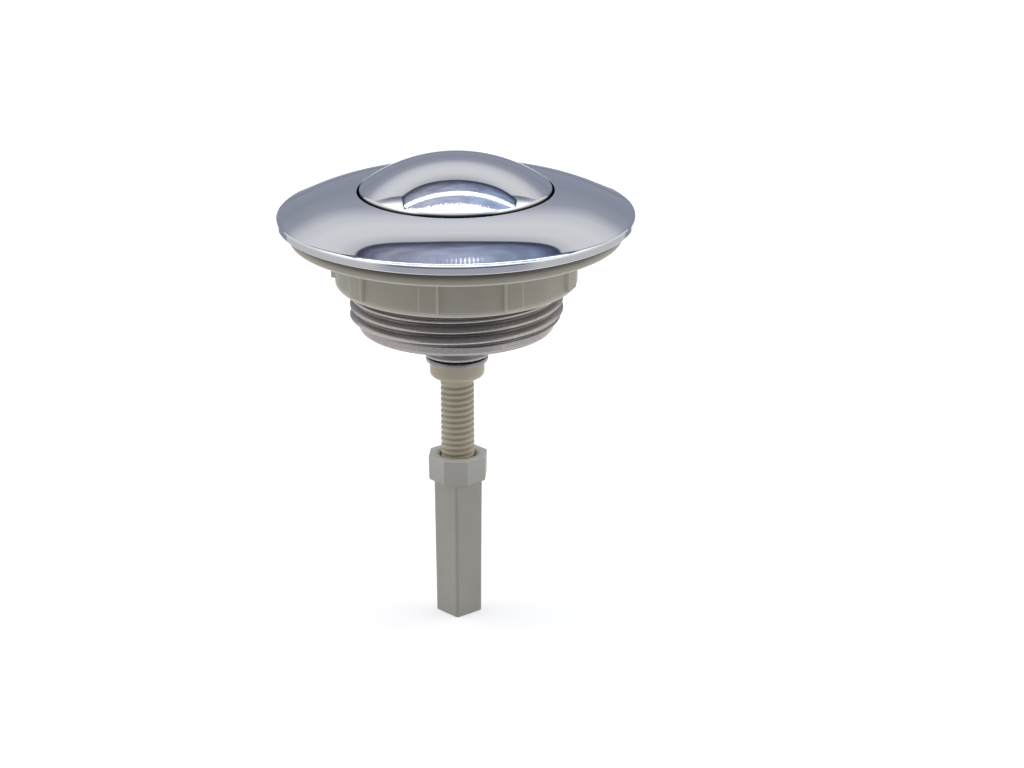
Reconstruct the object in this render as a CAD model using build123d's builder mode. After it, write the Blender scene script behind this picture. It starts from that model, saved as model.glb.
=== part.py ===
"""Push button cistern actuator: a chrome button in a flanged, threaded housing that is clamped
through a cistern lid, with a threaded plunger rod and an extension sleeve that presses the flush valve.

Millimetres, +Z up. Height zero is the face of the flange's rim that rests on the lid, and the
button's axis is the Z axis.
"""
import os
from math import cos, radians, sin, sqrt, tan

from build123d import *

# Flange of the housing
flange_d = 80.0           # across the rim
rim_side = 1.3            # upright side of the rim
rim_edge_r = 1.0          # rounding from the rim's side into the crown
seat_width = 1.5          # ring that rests on the lid
crown_height = 7.4        # seat up to the edge of the button's hole
flange_wall = 2.3         # thickness of the flange, measured upright
hole_slope = 7.0          # degrees that the crown falls at the button's hole
rim_slope = 24.5          # degrees that it falls at the rim
hole_pull = 9.2           # length over which the crown keeps the slope it has at the hole
rim_pull = 4.4            # length over which it keeps the slope it has at the rim
hole_edge_r = 0.4         # rounding of the hole's edge

# Threaded shank of the housing
thread_d = 48.0           # over the crests
thread_pitch = 2.4
thread_depth = 1.5
thread_crest = 0.5        # flat on top of each crest
thread_flank = 30.0       # degrees of each flank from square
shank_length = 24.6       # seat down to the end of the shank
thread_lead = 1.5         # the groove starts this far below the thread's lower end
collar_length = 2.4       # seat down to the upper end of the groove
end_d = 44.0              # plain end below the thread
end_length = 2.4
end_edge_r = 0.9          # rounding of the shank's lower edge
bore_d = 39.2             # inside of the shank
end_wall = 2.2            # wall that closes the shank
neck_d = 15.4             # guide neck under the end wall
neck_length = 6.5
neck_edge_r = 0.8

# Push button
button_d = 43.1
button_gap = 0.35         # clearance round the button in its hole
dome_rise = 7.2           # top of the dome above its edge
dome_lift = 0.3           # the dome's edge stands above the hole's edge
dome_edge_r = 1.2
button_wall = 2.0
button_land = 2.1         # upright edge below the dome
button_travel = 6.0
stop_gap = 0.3            # left between the button and its stop when it is fully pressed
skirt_gap = 0.4           # clearance of the skirt in the bore
skirt_length = 9.0        # skirt below the button's land
skirt_wall = 1.6

# Plunger rod
stem_d = 9.0              # plain stem through the neck
stem_gap = 0.25           # clearance of the stem in the neck
shoulder_d = 12.4
shoulder_height = 3.9
shoulder_r = 1.3          # rounding of the shoulder's lower edge
rod_d = 7.6               # over the crests of the rod's thread
rod_pitch = 1.36
rod_depth = 0.36
rod_crest = 0.6
rod_flank = 30.0
rod_length = 23.2         # threaded length below the shoulder
rod_point = 0.6           # bevel of the rod's tip
rod_lead = 1.57           # the rod's groove starts this far below the tip
rod_neck = 0.7            # shoulder down to the upper end of the rod's groove
socket_gap = 0.05         # glue gap of the stem in the button's socket
socket_wall = 2.0
socket_depth = 12.0

# Stop washer
washer_d = 14.1
washer_thickness = 1.0
washer_gap = 0.1          # clearance of the washer on the stem
washer_bevel = 0.25
neck_gap = 0.5            # free play between the neck and the washer at rest

# Return spring
wire_d = 1.0
wire_sides = 12           # the round wire is drawn with this many sides
coil_d = 17.0             # outside of the coils
spring_turns = 7.0
spring_gap = 0.1          # play at each end of the spring
spring_ledge = 3.0        # width of the ledge that takes the spring's upper end
ledge_drop = 3.4          # underside of the ledge below the button's land
boss_drop = 3.0           # socket below the ledge, inside the spring

# Back nut
nut_flange_d = 74.6
nut_flange_height = 3.05
nut_gap = 0.4             # top of the nut below the seat
nut_height = 13.5
nut_collar_d = 54.3
nut_clearance = 0.3       # clearance of the nut's bore over the crests
nut_edge_r = 0.5
pad_count = 9
pad_proud = 0.9
pad_width = 4.4
pad_stop = 1.0            # pads end this far above the nut's lower face
pad_turn = -103.0         # degrees from +X to the first pad

# Extension sleeve
head_sides = 8
head_across = 13.0        # across the flats of the head
head_height = 5.8
head_draft = 1.0          # degrees
head_bevel = 0.3
sleeve_turn = -4.5        # degrees that the sleeve is turned about its axis
body_turn = 45.0          # degrees that the square body is turned in the head
body_across = 8.1         # square body under the head
body_end_across = 7.6     # square body at the foot
body_corner_r = 0.7
body_length = 32.95
rod_overlap = 4.6         # length of the rod inside the head
rod_play = 0.4            # end of the rod to the bottom of the head's hole
rod_clearance = 0.4       # clearance of the hole over the rod's crests
mouth_bevel = 0.3

# Thread grooves
groove_over = 0.1         # the groove's section reaches this far outside the crests

# Sizes and heights that follow from the driving dimensions
flange_r = flange_d / 2
seat_inner_r = flange_r - seat_width
crown_end_r = flange_r - rim_edge_r * (1 - sin(radians(rim_slope)))
crown_end = rim_side + rim_edge_r * cos(radians(rim_slope))
button_r = button_d / 2
hole_r = button_r + button_gap
thread_r = thread_d / 2
bore_r = bore_d / 2
thread_bottom = -(shank_length - end_length)
floor_top = -(shank_length - end_wall)
neck_bottom = -(shank_length + neck_length)
neck_r = neck_d / 2
stem_r = stem_d / 2
guide_r = stem_r + stem_gap
dome_edge = crown_height + dome_lift
land_bottom = dome_edge - button_land
stop_height = land_bottom - button_travel - stop_gap
washer_top = neck_bottom - neck_gap
shoulder_top = washer_top - washer_thickness
shoulder_bottom = shoulder_top - shoulder_height
rod_tip = shoulder_bottom - rod_length
head_top = rod_tip + rod_overlap
head_bottom = head_top - head_height
foot_height = head_bottom - body_length
dome_r = (button_r**2 + dome_rise**2) / (2 * dome_rise)
dome_top = dome_edge + dome_rise
dome_centre = dome_top - dome_r
inner_dome_r = dome_r - button_wall
ledge_height = land_bottom - ledge_drop
socket_r = stem_r + socket_gap
boss_r = socket_r + socket_wall
ledge_r = boss_r + spring_ledge
socket_mouth = ledge_height - boss_drop
socket_top = socket_mouth + socket_depth
skirt_r = bore_r - skirt_gap
skirt_inner_r = skirt_r - skirt_wall
skirt_bottom = land_bottom - skirt_length
spring_bottom = floor_top + spring_gap
spring_top = ledge_height - spring_gap
coil_r = (coil_d - wire_d) / 2
spring_rise = spring_top - spring_bottom - wire_d
spring_pitch = spring_rise / spring_turns
nut_top = -nut_gap
nut_bottom = nut_top - nut_height
nut_flange_bottom = nut_top - nut_flange_height
collar_r = nut_collar_d / 2
rod_r = rod_d / 2
rod_hole_r = rod_r + rod_clearance
rod_hole_depth = rod_overlap + rod_play
head_turn = 180 / head_sides + sleeve_turn    # one flat faces the front


def crown_points(drop):
    """Control points of the crown's curve from the hole to the rim, lowered by drop."""
    fall = radians(hole_slope)
    rim_fall = radians(rim_slope)
    return (
        (hole_r, crown_height - drop),
        (hole_r + hole_pull * cos(fall), crown_height - drop - hole_pull * sin(fall)),
        (crown_end_r - rim_pull * cos(rim_fall), crown_end - drop + rim_pull * sin(rim_fall)),
        (crown_end_r, crown_end - drop),
    )


def inner_dome_height(radius):
    """Height of the button's inner dome at a distance from the axis."""
    return dome_centre + sqrt(inner_dome_r**2 - radius**2)


def thread_groove(crest_r, depth, pitch, crest, flank, top, bottom):
    """Groove of a right-hand thread in a cylinder of crest_r, wound from bottom up to top."""
    lean = tan(radians(flank))
    mouth = pitch - crest
    root = mouth - 2 * depth * lean
    outside = mouth + 2 * groove_over * lean
    with BuildPart() as groove:
        with BuildLine() as path:
            Helix(pitch, top - bottom, crest_r, center=(0, 0, bottom))
        with BuildSketch(Plane(origin=path.line @ 0, x_dir=(1, 0, 0), z_dir=path.line % 0)):
            with BuildLine():
                Polyline(
                    (-depth, -root / 2),
                    (groove_over, -outside / 2),
                    (groove_over, outside / 2),
                    (-depth, root / 2),
                    close=True,
                )
            make_face()
        sweep(path=path.line, is_frenet=True)
    return groove.part


os.makedirs("parts", exist_ok=True)

# Housing: crowned flange, threaded shank, end wall and guide neck in one moulding
with BuildPart() as housing:
    with BuildSketch(Plane.XZ):
        with BuildLine():
            crown = Bezier(*crown_points(0))
            rim = TangentArc(crown @ 1, (flange_r, rim_side), tangent=crown % 1)
            Polyline(
                rim @ 1,
                (flange_r, 0),
                (thread_r, 0),
                (thread_r, thread_bottom),
                (end_d / 2, thread_bottom),
                (end_d / 2, -shank_length),
                (neck_r, -shank_length),
                (neck_r, neck_bottom),
                (guide_r, neck_bottom),
                (guide_r, floor_top),
                (bore_r, floor_top),
                (bore_r, stop_height),
                (hole_r, stop_height),
                crown @ 0,
            )
        make_face()
    revolve(axis=Axis.Z)
    # Hollow under the flange, which follows the crown at one wall's distance
    with BuildSketch(Plane.XZ):
        with BuildLine():
            inside = Bezier(*crown_points(flange_wall))
            Polyline(inside @ 1, (crown_end_r, -flange_wall), (hole_r, -flange_wall), inside @ 0)
        make_face()
        with Locations(((thread_r + seat_inner_r) / 2, 0)):
            Rectangle(seat_inner_r - thread_r, 2 * crown_height, mode=Mode.INTERSECT)
    revolve(axis=Axis.Z, mode=Mode.SUBTRACT)
    rings = housing.edges().filter_by(GeomType.CIRCLE)
    fillet(rings.filter_by_position(Axis.Z, crown_height, crown_height), hole_edge_r)
    rings = housing.edges().filter_by(GeomType.CIRCLE)
    end_rings = rings.filter_by_position(Axis.Z, -shank_length, -shank_length)
    fillet(end_rings.group_by(SortBy.RADIUS)[-1], end_edge_r)
    rings = housing.edges().filter_by(GeomType.CIRCLE)
    neck_rings = rings.filter_by_position(Axis.Z, neck_bottom, neck_bottom)
    fillet(neck_rings.group_by(SortBy.RADIUS)[-1], neck_edge_r)
    groove = thread_groove(thread_r, thread_depth, thread_pitch, thread_crest, thread_flank,
                           -collar_length, thread_bottom - thread_lead)
    add(groove, mode=Mode.SUBTRACT)
housing.part.label = "housing"
export_step(housing.part, "parts/housing.step")

# Push button: domed cap, guide skirt, ledge for the spring and socket for the rod
with BuildPart() as button:
    with BuildSketch(Plane.XZ) as button_section:
        with BuildLine():
            dome = RadiusArc((0, dome_top), (button_r, dome_edge), dome_r)
            Polyline(
                dome @ 1,
                (button_r, land_bottom),
                (skirt_r, land_bottom),
                (skirt_r, skirt_bottom),
                (0, skirt_bottom),
                dome @ 0,
            )
        make_face()
        dome_corner = button_section.vertices().filter_by_position(Axis.Y, dome_edge, dome_edge)
        fillet(dome_corner, dome_edge_r)
    revolve(axis=Axis.Z)
    with BuildSketch(Plane.XZ):
        with BuildLine():
            hollow = RadiusArc(
                (ledge_r, inner_dome_height(ledge_r)),
                (skirt_inner_r, inner_dome_height(skirt_inner_r)),
                inner_dome_r,
            )
            Polyline(
                hollow @ 1,
                (skirt_inner_r, skirt_bottom),
                (0, skirt_bottom),
                (0, socket_mouth),
                (boss_r, socket_mouth),
                (boss_r, ledge_height),
                (ledge_r, ledge_height),
                hollow @ 0,
            )
        make_face()
    revolve(axis=Axis.Z, mode=Mode.SUBTRACT)
    with BuildSketch(Plane.XY.offset(socket_mouth)):
        Circle(socket_r)
    extrude(amount=socket_depth, mode=Mode.SUBTRACT)
button.part.label = "button"
export_step(button.part, "parts/button.step")

# Plunger rod: plain stem into the button, shoulder that stops it and thread for the sleeve
with BuildPart() as plunger_rod:
    with BuildSketch(Plane.XZ):
        with BuildLine():
            Polyline(
                (0, socket_top),
                (stem_r, socket_top),
                (stem_r, shoulder_top),
                (shoulder_d / 2, shoulder_top),
                (shoulder_d / 2, shoulder_bottom),
                (rod_r, shoulder_bottom),
                (rod_r, rod_tip + rod_point),
                (rod_r - rod_point, rod_tip),
                (0, rod_tip),
                close=True,
            )
        make_face()
    revolve(axis=Axis.Z)
    rings = plunger_rod.edges().filter_by(GeomType.CIRCLE)
    shoulder_rings = rings.filter_by_position(Axis.Z, shoulder_bottom, shoulder_bottom)
    fillet(shoulder_rings.group_by(SortBy.RADIUS)[-1], shoulder_r)
    rod_groove = thread_groove(rod_r, rod_depth, rod_pitch, rod_crest, rod_flank,
                               shoulder_bottom - rod_neck, rod_tip - rod_lead)
    add(rod_groove, mode=Mode.SUBTRACT)
plunger_rod.part.label = "plunger_rod"
export_step(plunger_rod.part, "parts/plunger_rod.step")

# Stop washer: sits on the rod's shoulder and meets the neck when the button springs back
with BuildPart() as stop_washer:
    with BuildSketch(Plane.XY.offset(shoulder_top)):
        Circle(washer_d / 2)
        Circle(stem_r + washer_gap, mode=Mode.SUBTRACT)
    extrude(amount=washer_thickness)
    rings = stop_washer.edges().filter_by(GeomType.CIRCLE)
    chamfer(rings.group_by(SortBy.RADIUS)[-1], washer_bevel)
stop_washer.part.label = "stop_washer"
export_step(stop_washer.part, "parts/stop_washer.step")

# Return spring: one wire wound round the button's boss, standing on the end wall
with BuildPart() as return_spring:
    with BuildLine() as coil:
        Helix(spring_pitch, spring_rise, coil_r, center=(0, 0, spring_bottom + wire_d / 2))
    with BuildSketch(Plane(origin=coil.line @ 0, z_dir=coil.line % 0)):
        RegularPolygon(wire_d / 2, wire_sides)
    sweep(path=coil.line, is_frenet=True)
return_spring.part.label = "return_spring"
export_step(return_spring.part, "parts/return_spring.step")

# Back nut: wide flange, collar and grip pads in one moulding
with BuildPart() as back_nut:
    with BuildSketch(Plane.XY.offset(nut_top)):
        Circle(nut_flange_d / 2)
    extrude(amount=-nut_flange_height)
    fillet(back_nut.edges(), nut_edge_r)
    with BuildSketch(Plane.XY.offset(nut_flange_bottom)):
        Circle(collar_r)
    extrude(amount=nut_bottom - nut_flange_bottom)
    fillet(back_nut.edges().group_by(Axis.Z)[0], nut_edge_r)
    with BuildSketch(Plane.XY.offset(nut_flange_bottom)):
        with PolarLocations(collar_r, pad_count, start_angle=pad_turn):
            Rectangle(2 * pad_proud, pad_width)
    extrude(amount=nut_bottom + pad_stop - nut_flange_bottom)
    with BuildSketch(Plane.XY.offset(nut_top)):
        Circle(thread_r + nut_clearance)
    extrude(amount=-nut_height, mode=Mode.SUBTRACT)
back_nut.part.label = "back_nut"
export_step(back_nut.part, "parts/back_nut.step")

# Extension sleeve: eight-sided head with the rod's hole, and a square body that tapers to the foot
with BuildPart() as extension_sleeve:
    with BuildSketch(Plane.XY.offset(head_top)):
        RegularPolygon(head_across / 2, head_sides, major_radius=False, rotation=head_turn)
    extrude(amount=-head_height, taper=head_draft)
    chamfer(extension_sleeve.edges().group_by(Axis.Z)[0], head_bevel)
    chamfer(extension_sleeve.edges().group_by(Axis.Z)[-1], head_bevel)
    with BuildSketch(Plane.XY.offset(head_bottom)):
        RectangleRounded(body_across, body_across, body_corner_r, rotation=body_turn + sleeve_turn)
    with BuildSketch(Plane.XY.offset(foot_height)):
        RectangleRounded(body_end_across, body_end_across, body_corner_r, rotation=body_turn + sleeve_turn)
    loft()
    with BuildSketch(Plane.XY.offset(head_top)):
        Circle(rod_hole_r)
    extrude(amount=-rod_hole_depth, mode=Mode.SUBTRACT)
    chamfer(extension_sleeve.edges().filter_by(GeomType.CIRCLE).group_by(Axis.Z)[-1], mouth_bevel)
extension_sleeve.part.label = "extension_sleeve"
export_step(extension_sleeve.part, "parts/extension_sleeve.step")
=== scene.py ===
"""Looks of the push button cistern actuator: fine surfaces, finishes, light box and camera."""
import math

import bpy
import numpy as np
from mathutils import Matrix


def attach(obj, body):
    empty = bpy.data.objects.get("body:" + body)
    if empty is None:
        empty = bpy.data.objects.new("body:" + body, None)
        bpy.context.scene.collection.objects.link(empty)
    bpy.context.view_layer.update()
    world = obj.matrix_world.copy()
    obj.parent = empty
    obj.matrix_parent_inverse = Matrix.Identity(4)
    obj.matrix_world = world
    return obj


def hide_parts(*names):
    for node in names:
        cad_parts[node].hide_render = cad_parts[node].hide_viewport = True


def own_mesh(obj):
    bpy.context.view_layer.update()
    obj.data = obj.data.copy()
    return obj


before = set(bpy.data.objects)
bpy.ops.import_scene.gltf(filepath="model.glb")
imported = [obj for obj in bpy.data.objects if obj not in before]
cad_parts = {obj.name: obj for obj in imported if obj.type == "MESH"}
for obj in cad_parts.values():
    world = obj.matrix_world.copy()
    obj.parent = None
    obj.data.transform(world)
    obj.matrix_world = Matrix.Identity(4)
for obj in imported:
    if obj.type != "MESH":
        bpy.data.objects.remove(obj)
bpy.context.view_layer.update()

MM = 0.001
TURN = 2 * math.pi

# Sizes are in millimetres and degrees, as in the part's source. Height zero is the rim's seat on the lid

# Flange of the housing
FLANGE_R = 39.985
FLANGE_WALL = 2.3
CROWN_HEIGHT = 7.4
HOLE_R = 21.9
HOLE_EDGE_R = 0.4
HOLE_SLOPE = 7.0
HOLE_HANDLE = 9.2
RIM_SLOPE = 24.5
RIM_HANDLE = 4.4
RIM_SOFT_R = 4.0
RIM_BREAK = 36.0
RIM_EDGE_R = 0.55
RIM_SIDE = 1.45
RIM_LOWER_R = 0.3
SEAT_INNER_R = 38.5
SEAT_EDGE_R = 0.12

# Shank and guide neck of the housing
SHANK_TOP = -0.5
THREAD_START = -0.6
THREAD_R = 24.0
THREAD_PITCH = 2.4
THREAD_DEPTH = 1.5
THREAD_CREST = 0.5
THREAD_TOP = -2.4
THREAD_BOTTOM = -22.2
THREAD_LEAD = 1.5
LEAD_IN_R = 23.0
LEAD_IN_SLOPE = 1.1
END_R = 22.0
END_EDGE_R = 0.9
SHANK_END = -24.6
BORE_R = 19.6
FLOOR_TOP = -22.4
STOP_HEIGHT = -0.7
NECK_R = 7.7
NECK_BOTTOM = -31.1
NECK_EDGE_R = 0.8
GUIDE_R = 4.75

# Button
BUTTON_R = 21.55
BUTTON_WALL = 2.0
DOME_TOP = 14.9
DOME_EDGE = 7.7
DOME_EDGE_R = 1.2
LAND_BOTTOM = 5.6
SKIRT_R = 19.2
SKIRT_INNER_R = 17.6
SKIRT_BOTTOM = -3.4
LEDGE_R = 9.55
LEDGE_HEIGHT = 2.2
BOSS_R = 6.55
SOCKET_R = 4.55
SOCKET_MOUTH = -0.8
SOCKET_TOP = 11.2

# Plunger rod
STEM_R = 4.5
STEM_EDGE_R = 0.3
SHOULDER_R = 6.2
SHOULDER_TOP = -32.6
SHOULDER_BOTTOM = -36.5
SHOULDER_EDGE_R = 1.3
ROD_R = 3.8
ROD_ROOT_R = 0.05
ROD_TOP = SHOULDER_BOTTOM - 0.2
ROD_START = SHOULDER_BOTTOM - 0.22
ROD_PITCH = 1.36
ROD_DEPTH = 0.36
ROD_CREST = 0.6
ROD_TIP = -59.7
ROD_POINT = 0.6
ROD_LEAD = 1.57
ROD_NECK = 0.7

# Stop washer and return spring
WASHER_R = 7.05
WASHER_HOLE_R = 4.6
WASHER_TOP = -31.6
WASHER_BOTTOM = -32.6
WASHER_BEVEL = 0.25
WIRE_R = 0.5
COIL_R = 8.0
SPRING_TURNS = 7.0
SPRING_BOTTOM = -22.3
SPRING_TOP = 2.1

# Back nut
NUT_FLANGE_R = 37.3
NUT_TOP = -0.4
NUT_FLANGE_MIDDLE = -1.7
NUT_FLANGE_BOTTOM = -3.45
NUT_BOTTOM = -13.9
NUT_COLLAR_R = 27.15
NUT_EDGE_R = 0.5
NUT_BORE_R = 24.3
NUT_MOUTH_R = 0.25
NUT_THREAD_DEPTH = 1.2
NUT_THREAD_BOTTOM = NUT_BOTTOM + 0.4
NUT_THREAD_TOP = NUT_TOP - 0.3
NUT_THREAD_FADE = 0.5
PAD_COUNT = 9
PAD_PROUD = 0.9
PAD_WIDTH = 4.4
PAD_END = NUT_BOTTOM + 1.0
PAD_TURN = -103.0
# Degrees over which a pad's sides rise, millimetres over which its end rises, and the share that is rounded
PAD_SIDE_RISE = 0.2
PAD_END_RISE = 0.24
PAD_SOFT = 0.25
# Columns near a pad's side and the ends of the even columns about them, in degrees from the side, and rows
# of the collar below the flange and about the pads' ends
PAD_SIDE_COLUMNS = (-0.42, -0.3, -0.22, -0.15, -0.09, -0.03, 0.03, 0.09, 0.15, 0.25)
PAD_CLEAR = (-0.5, 0.4)
COLLAR_TOP_ROWS = (0.0, -0.06, -0.15, -0.6, -3.0)
PAD_END_ROWS = (3.0, 1.0, 0.7, 0.4, 0.24, 0.18, 0.12, 0.06, 0.0, -0.06, -0.12)

# Extension sleeve
HEAD_ACROSS = 13.0
HEAD_TOP = -55.1
HEAD_BOTTOM = -60.9
HEAD_DRAFT = 1.0
HEAD_CORNER_R = 0.35
BODY_ACROSS = 8.1
BODY_END_ACROSS = 7.6
BODY_CORNER_R = 0.7
FOOT_HEIGHT = -93.85
SLEEVE_TURN = -4.5
ROD_HOLE_R = 4.2
ROD_HOLE_BOTTOM = HEAD_TOP - 5.0
ROD_HOLE_RING = 2.0
ROD_HOLE_THREAD = 0.3
ROD_HOLE_FADES = (0.5, 0.8)
MOUTH_BEVEL = 0.3
MOUTH_SHARES = (0, 0.1, 0.9, 1)
HEAD_RING = 1.3
BODY_RING = 0.25
BODY_SHARES = (0.03, 0.985)
# Rows of the head's rounded edges, as (inset, depth), and of the foot's, as (inset, height)
HEAD_EDGE = ((0.4, 0), (0.225, 0.03), (0.12, 0.1), (0.036, 0.2), (0, 0.35), (0, 0.6))
FOOT_EDGE = ((0, 0.22), (0.01, 0.16), (0.04, 0.08), (0.09, 0.03), (0.18, 0), (0.3, 0))

# Small roundings, the distance from an edge at which a row keeps the face beside it flat, and the
# distance from a corner at which a face that two sections share starts
FINE_EDGE = 0.1
SMALL_EDGE = 0.15
MOULD_EDGE = 0.2
HOLD = 0.06
MARGIN = 0.3

# Fineness of the surfaces: degrees between the rows of an arc, points round the axis, rows for each turn
# of thread and rows of the other curves. Of the rows under the crown, every twentieth is kept
ARC_STEP = 11
SMALL_ARC_STEP = 22
SMALL_ARC_R = 0.3
PLATED_POINTS = 272
ROD_POINTS = 144
WASHER_POINTS = 240
SLEEVE_POINTS = 720
WIRE_POINTS = 16
COIL_POINTS = 60
THREAD_ROWS = 16
ROD_ROWS = 24
NUT_ROWS = 20
HOLE_ROWS = 14
CROWN_ROWS = 56
RIM_ROWS = 12
UNDER_ROWS = 400
UNDER_EACH = 20
DOME_ROWS = 100
DOME_INNER_ROWS = 40
TIP_ROWS = 8
BODY_ROWS = 12
PAD_COLUMNS = 7
GAP_COLUMNS = 10

# Threads: slope of a flank, share of a pitch in which the last turn fades, shares of a flank that are
# rounded, and a height above all pieces for a thread that doesn't fade
FLANK = math.tan(math.radians(30.0))
THREAD_FADE = 0.2
THREAD_SOFT = 0.35
ROD_SOFT = 0.5
NUT_SOFT = 0.12
HOLE_SOFT = 0.3
NO_FADE = 10.0

# Tones that the meshes carry for their finishes, mostly painted shade and painted highlights: strengths,
# and the distances over which they change
# Painted shade on the chrome: in the gap round the button, the thread roots, the shank's end and the neck
HOLE_FADE = 0.5
GAP_LIFT = 0.05
GAP_FADE = 0.25
ROOT_SHADE = 0.5
END_SHADE = 0.5
NECK_SHADE = 0.6
NECK_LIP = 0.3
NECK_FADE = 0.6
# Painted highlights on the nut's edges
HIGHLIGHT_LIFT = 0.2
FLANGE_HIGHLIGHT = 0.35
COLLAR_HIGHLIGHT = 0.8
PAD_SIDE_HIGHLIGHT = 0.3
PAD_SIDE_INSET = 0.1
PAD_END_HIGHLIGHT = 0.15
PAD_END_LIFT = 0.12
# Painted shadow on the nut's flange under the chrome rim
RIM_SHADOW_START = 0.6
RIM_SHADOW_FADE = 2.0
RIM_SHADOW_MOST = 0.9
# The sleeve head's own paler colour, and a painted highlight on its top
HEAD_TONE = 0.5
HEAD_FADE = 4.0
HEAD_TOP_DEPTH = 0.15

# Finishes: widths of their patterns in millimetres, the values between which a noise mostly lies, the
# shares by which roughness spreads, and the dull metal's edge in millimetres, its shade and the strength
# of its specks. The plastics' skin is finer on the real part, and is drawn as coarse as it needs to show
SPECK = 0.4
CAST_GRAIN = 0.5
SWELL = 12.0
CLOUD = 6.0
SKIN_GRAIN = 0.3
STEEL_PATCH = 0.8
NOISE_MIDDLE = (0.3, 0.7)
EVEN = (0.9, 1.1)
UNEVEN = (0.6, 1.4)
DULL_EDGE = 0.5
CAST_SHADE = 0.8
CAST_MIDDLE = (0.35, 0.65)
SPECK_STRENGTH = 0.06

# Colours of the light box's walls by degrees above the horizon. The back is slate low down and pale at
# half height, the sides are white, and the camera's side is dark above the horizon and grey below it
BACK_WALL = (
    (-4, (0.325, 0.355, 0.43)), (-2, (0.27, 0.29, 0.355)), (0, (0.27, 0.29, 0.355)),
    (2.5, (0.325, 0.355, 0.43)), (15, (0.325, 0.355, 0.43)), (24, (0.42, 0.44, 0.505)),
    (31, (0.77, 0.775, 0.81)), (38, (0.91, 0.91, 0.91)), (46, (0.88, 0.88, 0.88)),
    (50, (0.72, 0.73, 0.74)), (55, (0.52, 0.54, 0.57)))
SIDE_WALLS = (
    (-30, (0.70, 0.69, 0.67)), (-12, (0.72, 0.72, 0.72)), (5, (0.98, 0.98, 0.96)), (30, (0.98, 0.98, 0.96)),
    (38, (1.0, 1.0, 1.0)))
CAMERA_WALL = (
    (-32, (0.60, 0.59, 0.58)), (-20, (0.50, 0.50, 0.54)), (-8, (0.46, 0.47, 0.52)), (0, (0.20, 0.21, 0.24)),
    (45, (0.13, 0.14, 0.17)), (58, (0.50, 0.51, 0.55)), (70, (0.80, 0.81, 0.85)))
# How far the back wall and the camera's wall spread sideways, and the ranges over which the walls turn
BACK_SPREAD = -1.12
CAMERA_SPREAD = 0.7
SIDE_TURN = (0.01, -0.03)
CAMERA_TURN = (0.05, -0.3)

# Opening in the light box's top. Places on the top are slopes: how far a ray goes sideways, or away from
# the camera, for each unit that it rises. A range runs from the place where a thing starts to the place
# where it is whole
LEAST_RISE = 0.02
OPENING_MIDDLE = 0.05
OPENING_NEAR = -0.6
OPENING_FAR = 0.8
OPENING_COLOURS = (
    (-0.6, (0.60, 0.61, 0.64)), (-0.2, (0.95, 0.96, 1.00)), (0.02, (1.00, 1.00, 1.00)),
    (0.09, (0.90, 0.92, 0.98)), (0.16, (0.54, 0.57, 0.70)), (0.22, (0.62, 0.66, 0.84)),
    (0.32, (0.58, 0.65, 0.82)), (0.45, (0.48, 0.53, 0.66)), (0.54, (0.39, 0.43, 0.54)),
    (0.61, (0.23, 0.25, 0.34)), (0.665, (0.10, 0.11, 0.16)), (0.72, (0.05, 0.06, 0.09)))
CORNER_START = 0.28
CORNER_CUT = 1.1
FAR_EDGE = (0.728, 0.708)
SIDE_EDGE = (0.60, 0.58)
NEAR_EDGE = (-0.60, -0.45)
HORIZON_EDGE = (0.05, 0.15)
DARK_ENDS = (0.545, 0.585)
END_COLOUR = (0.05, 0.06, 0.10, 1.0)
STREAKS = (7.0, 14.0, 0.0)
STREAK_GAIN = (-0.22, 0.2)
STREAK_START = (0.05, 0.3)
HUE_RANGE = (-0.3, 0.5)
WARM = (1.06, 0.99, 0.98, 1.0)
COOL = (0.84, 0.96, 1.08, 1.0)

# Small lamps in the opening: their spacing, a strip of them with teeth, and a ragged bank nearer the camera
LAMP_SPACING = 0.017
LAMP_COLOUR = (1.0, 0.98, 0.97, 1.0)
STRIP_PLACE = 0.375
STRIP_TILT = 0.04
STRIP_HALF = 0.014
TOOTH = 0.043
STRIP_EDGE = (1.0, 0.7)
STRIP_ENDS = (0.58, 0.56)
STRIP_LIGHT = 5.0
DOT_SCALE = 45.0
BANK_PLACE = 0.10
BANK_RAGGED = 0.16
BANK_BEND_START = 0.3
BANK_BEND = 1.5
BANK_EDGE = (0.01, -0.02)
BANK_START = (0.0, 0.08)
BANK_ENDS = (0.60, 0.56)
BANK_GAPS = (0.6, 0.95)
BANK_LIGHT = (0.15, 3.0)

# Dark seams that run down from the opening's far corners, and bright shoulders on the side walls under it
SEAM_RISE = (0.45, 0.72)
SEAM_BACK = (0.035, 0.005)
SEAM_SIDE = (-0.16, -0.005)
SEAM_STRENGTH = 0.8
SEAM_COLOUR = "4a5468"
SHOULDER_RISE = (0.56, 0.70)
SHOULDER_BACK = (-0.06, -0.17)
SHOULDER_CAMERA = (0.0, 0.2)
SHOULDER_LIGHT = 0.7

# Table, with its corners as (x, y) in millimetres, and camera, with the part's axis left of the middle
TABLE_CORNERS = ((-110, -110), (135, -110), (240, 660), (-200, 660))
TABLE_COLOUR = "dadadb"
TABLE_GLOW = 0.5
PHOTO_WIDTH = 1024
AXIS_PIXEL = 457.3
SENSOR = 36.0
LENS = 126.6
EYE = (0.0, -0.7678, 0.2348)
EYE_TILT = 70.4
EYE_ROLL = -0.5


# Surfaces

def angles(count):
    """Even angles round the axis, starting from +X."""
    return np.arange(count) * TURN / count


def plain(rows):
    """Points of a curve as corners of a section with no rounding."""
    return [(r, z, 0) for r, z in rows]


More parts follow.
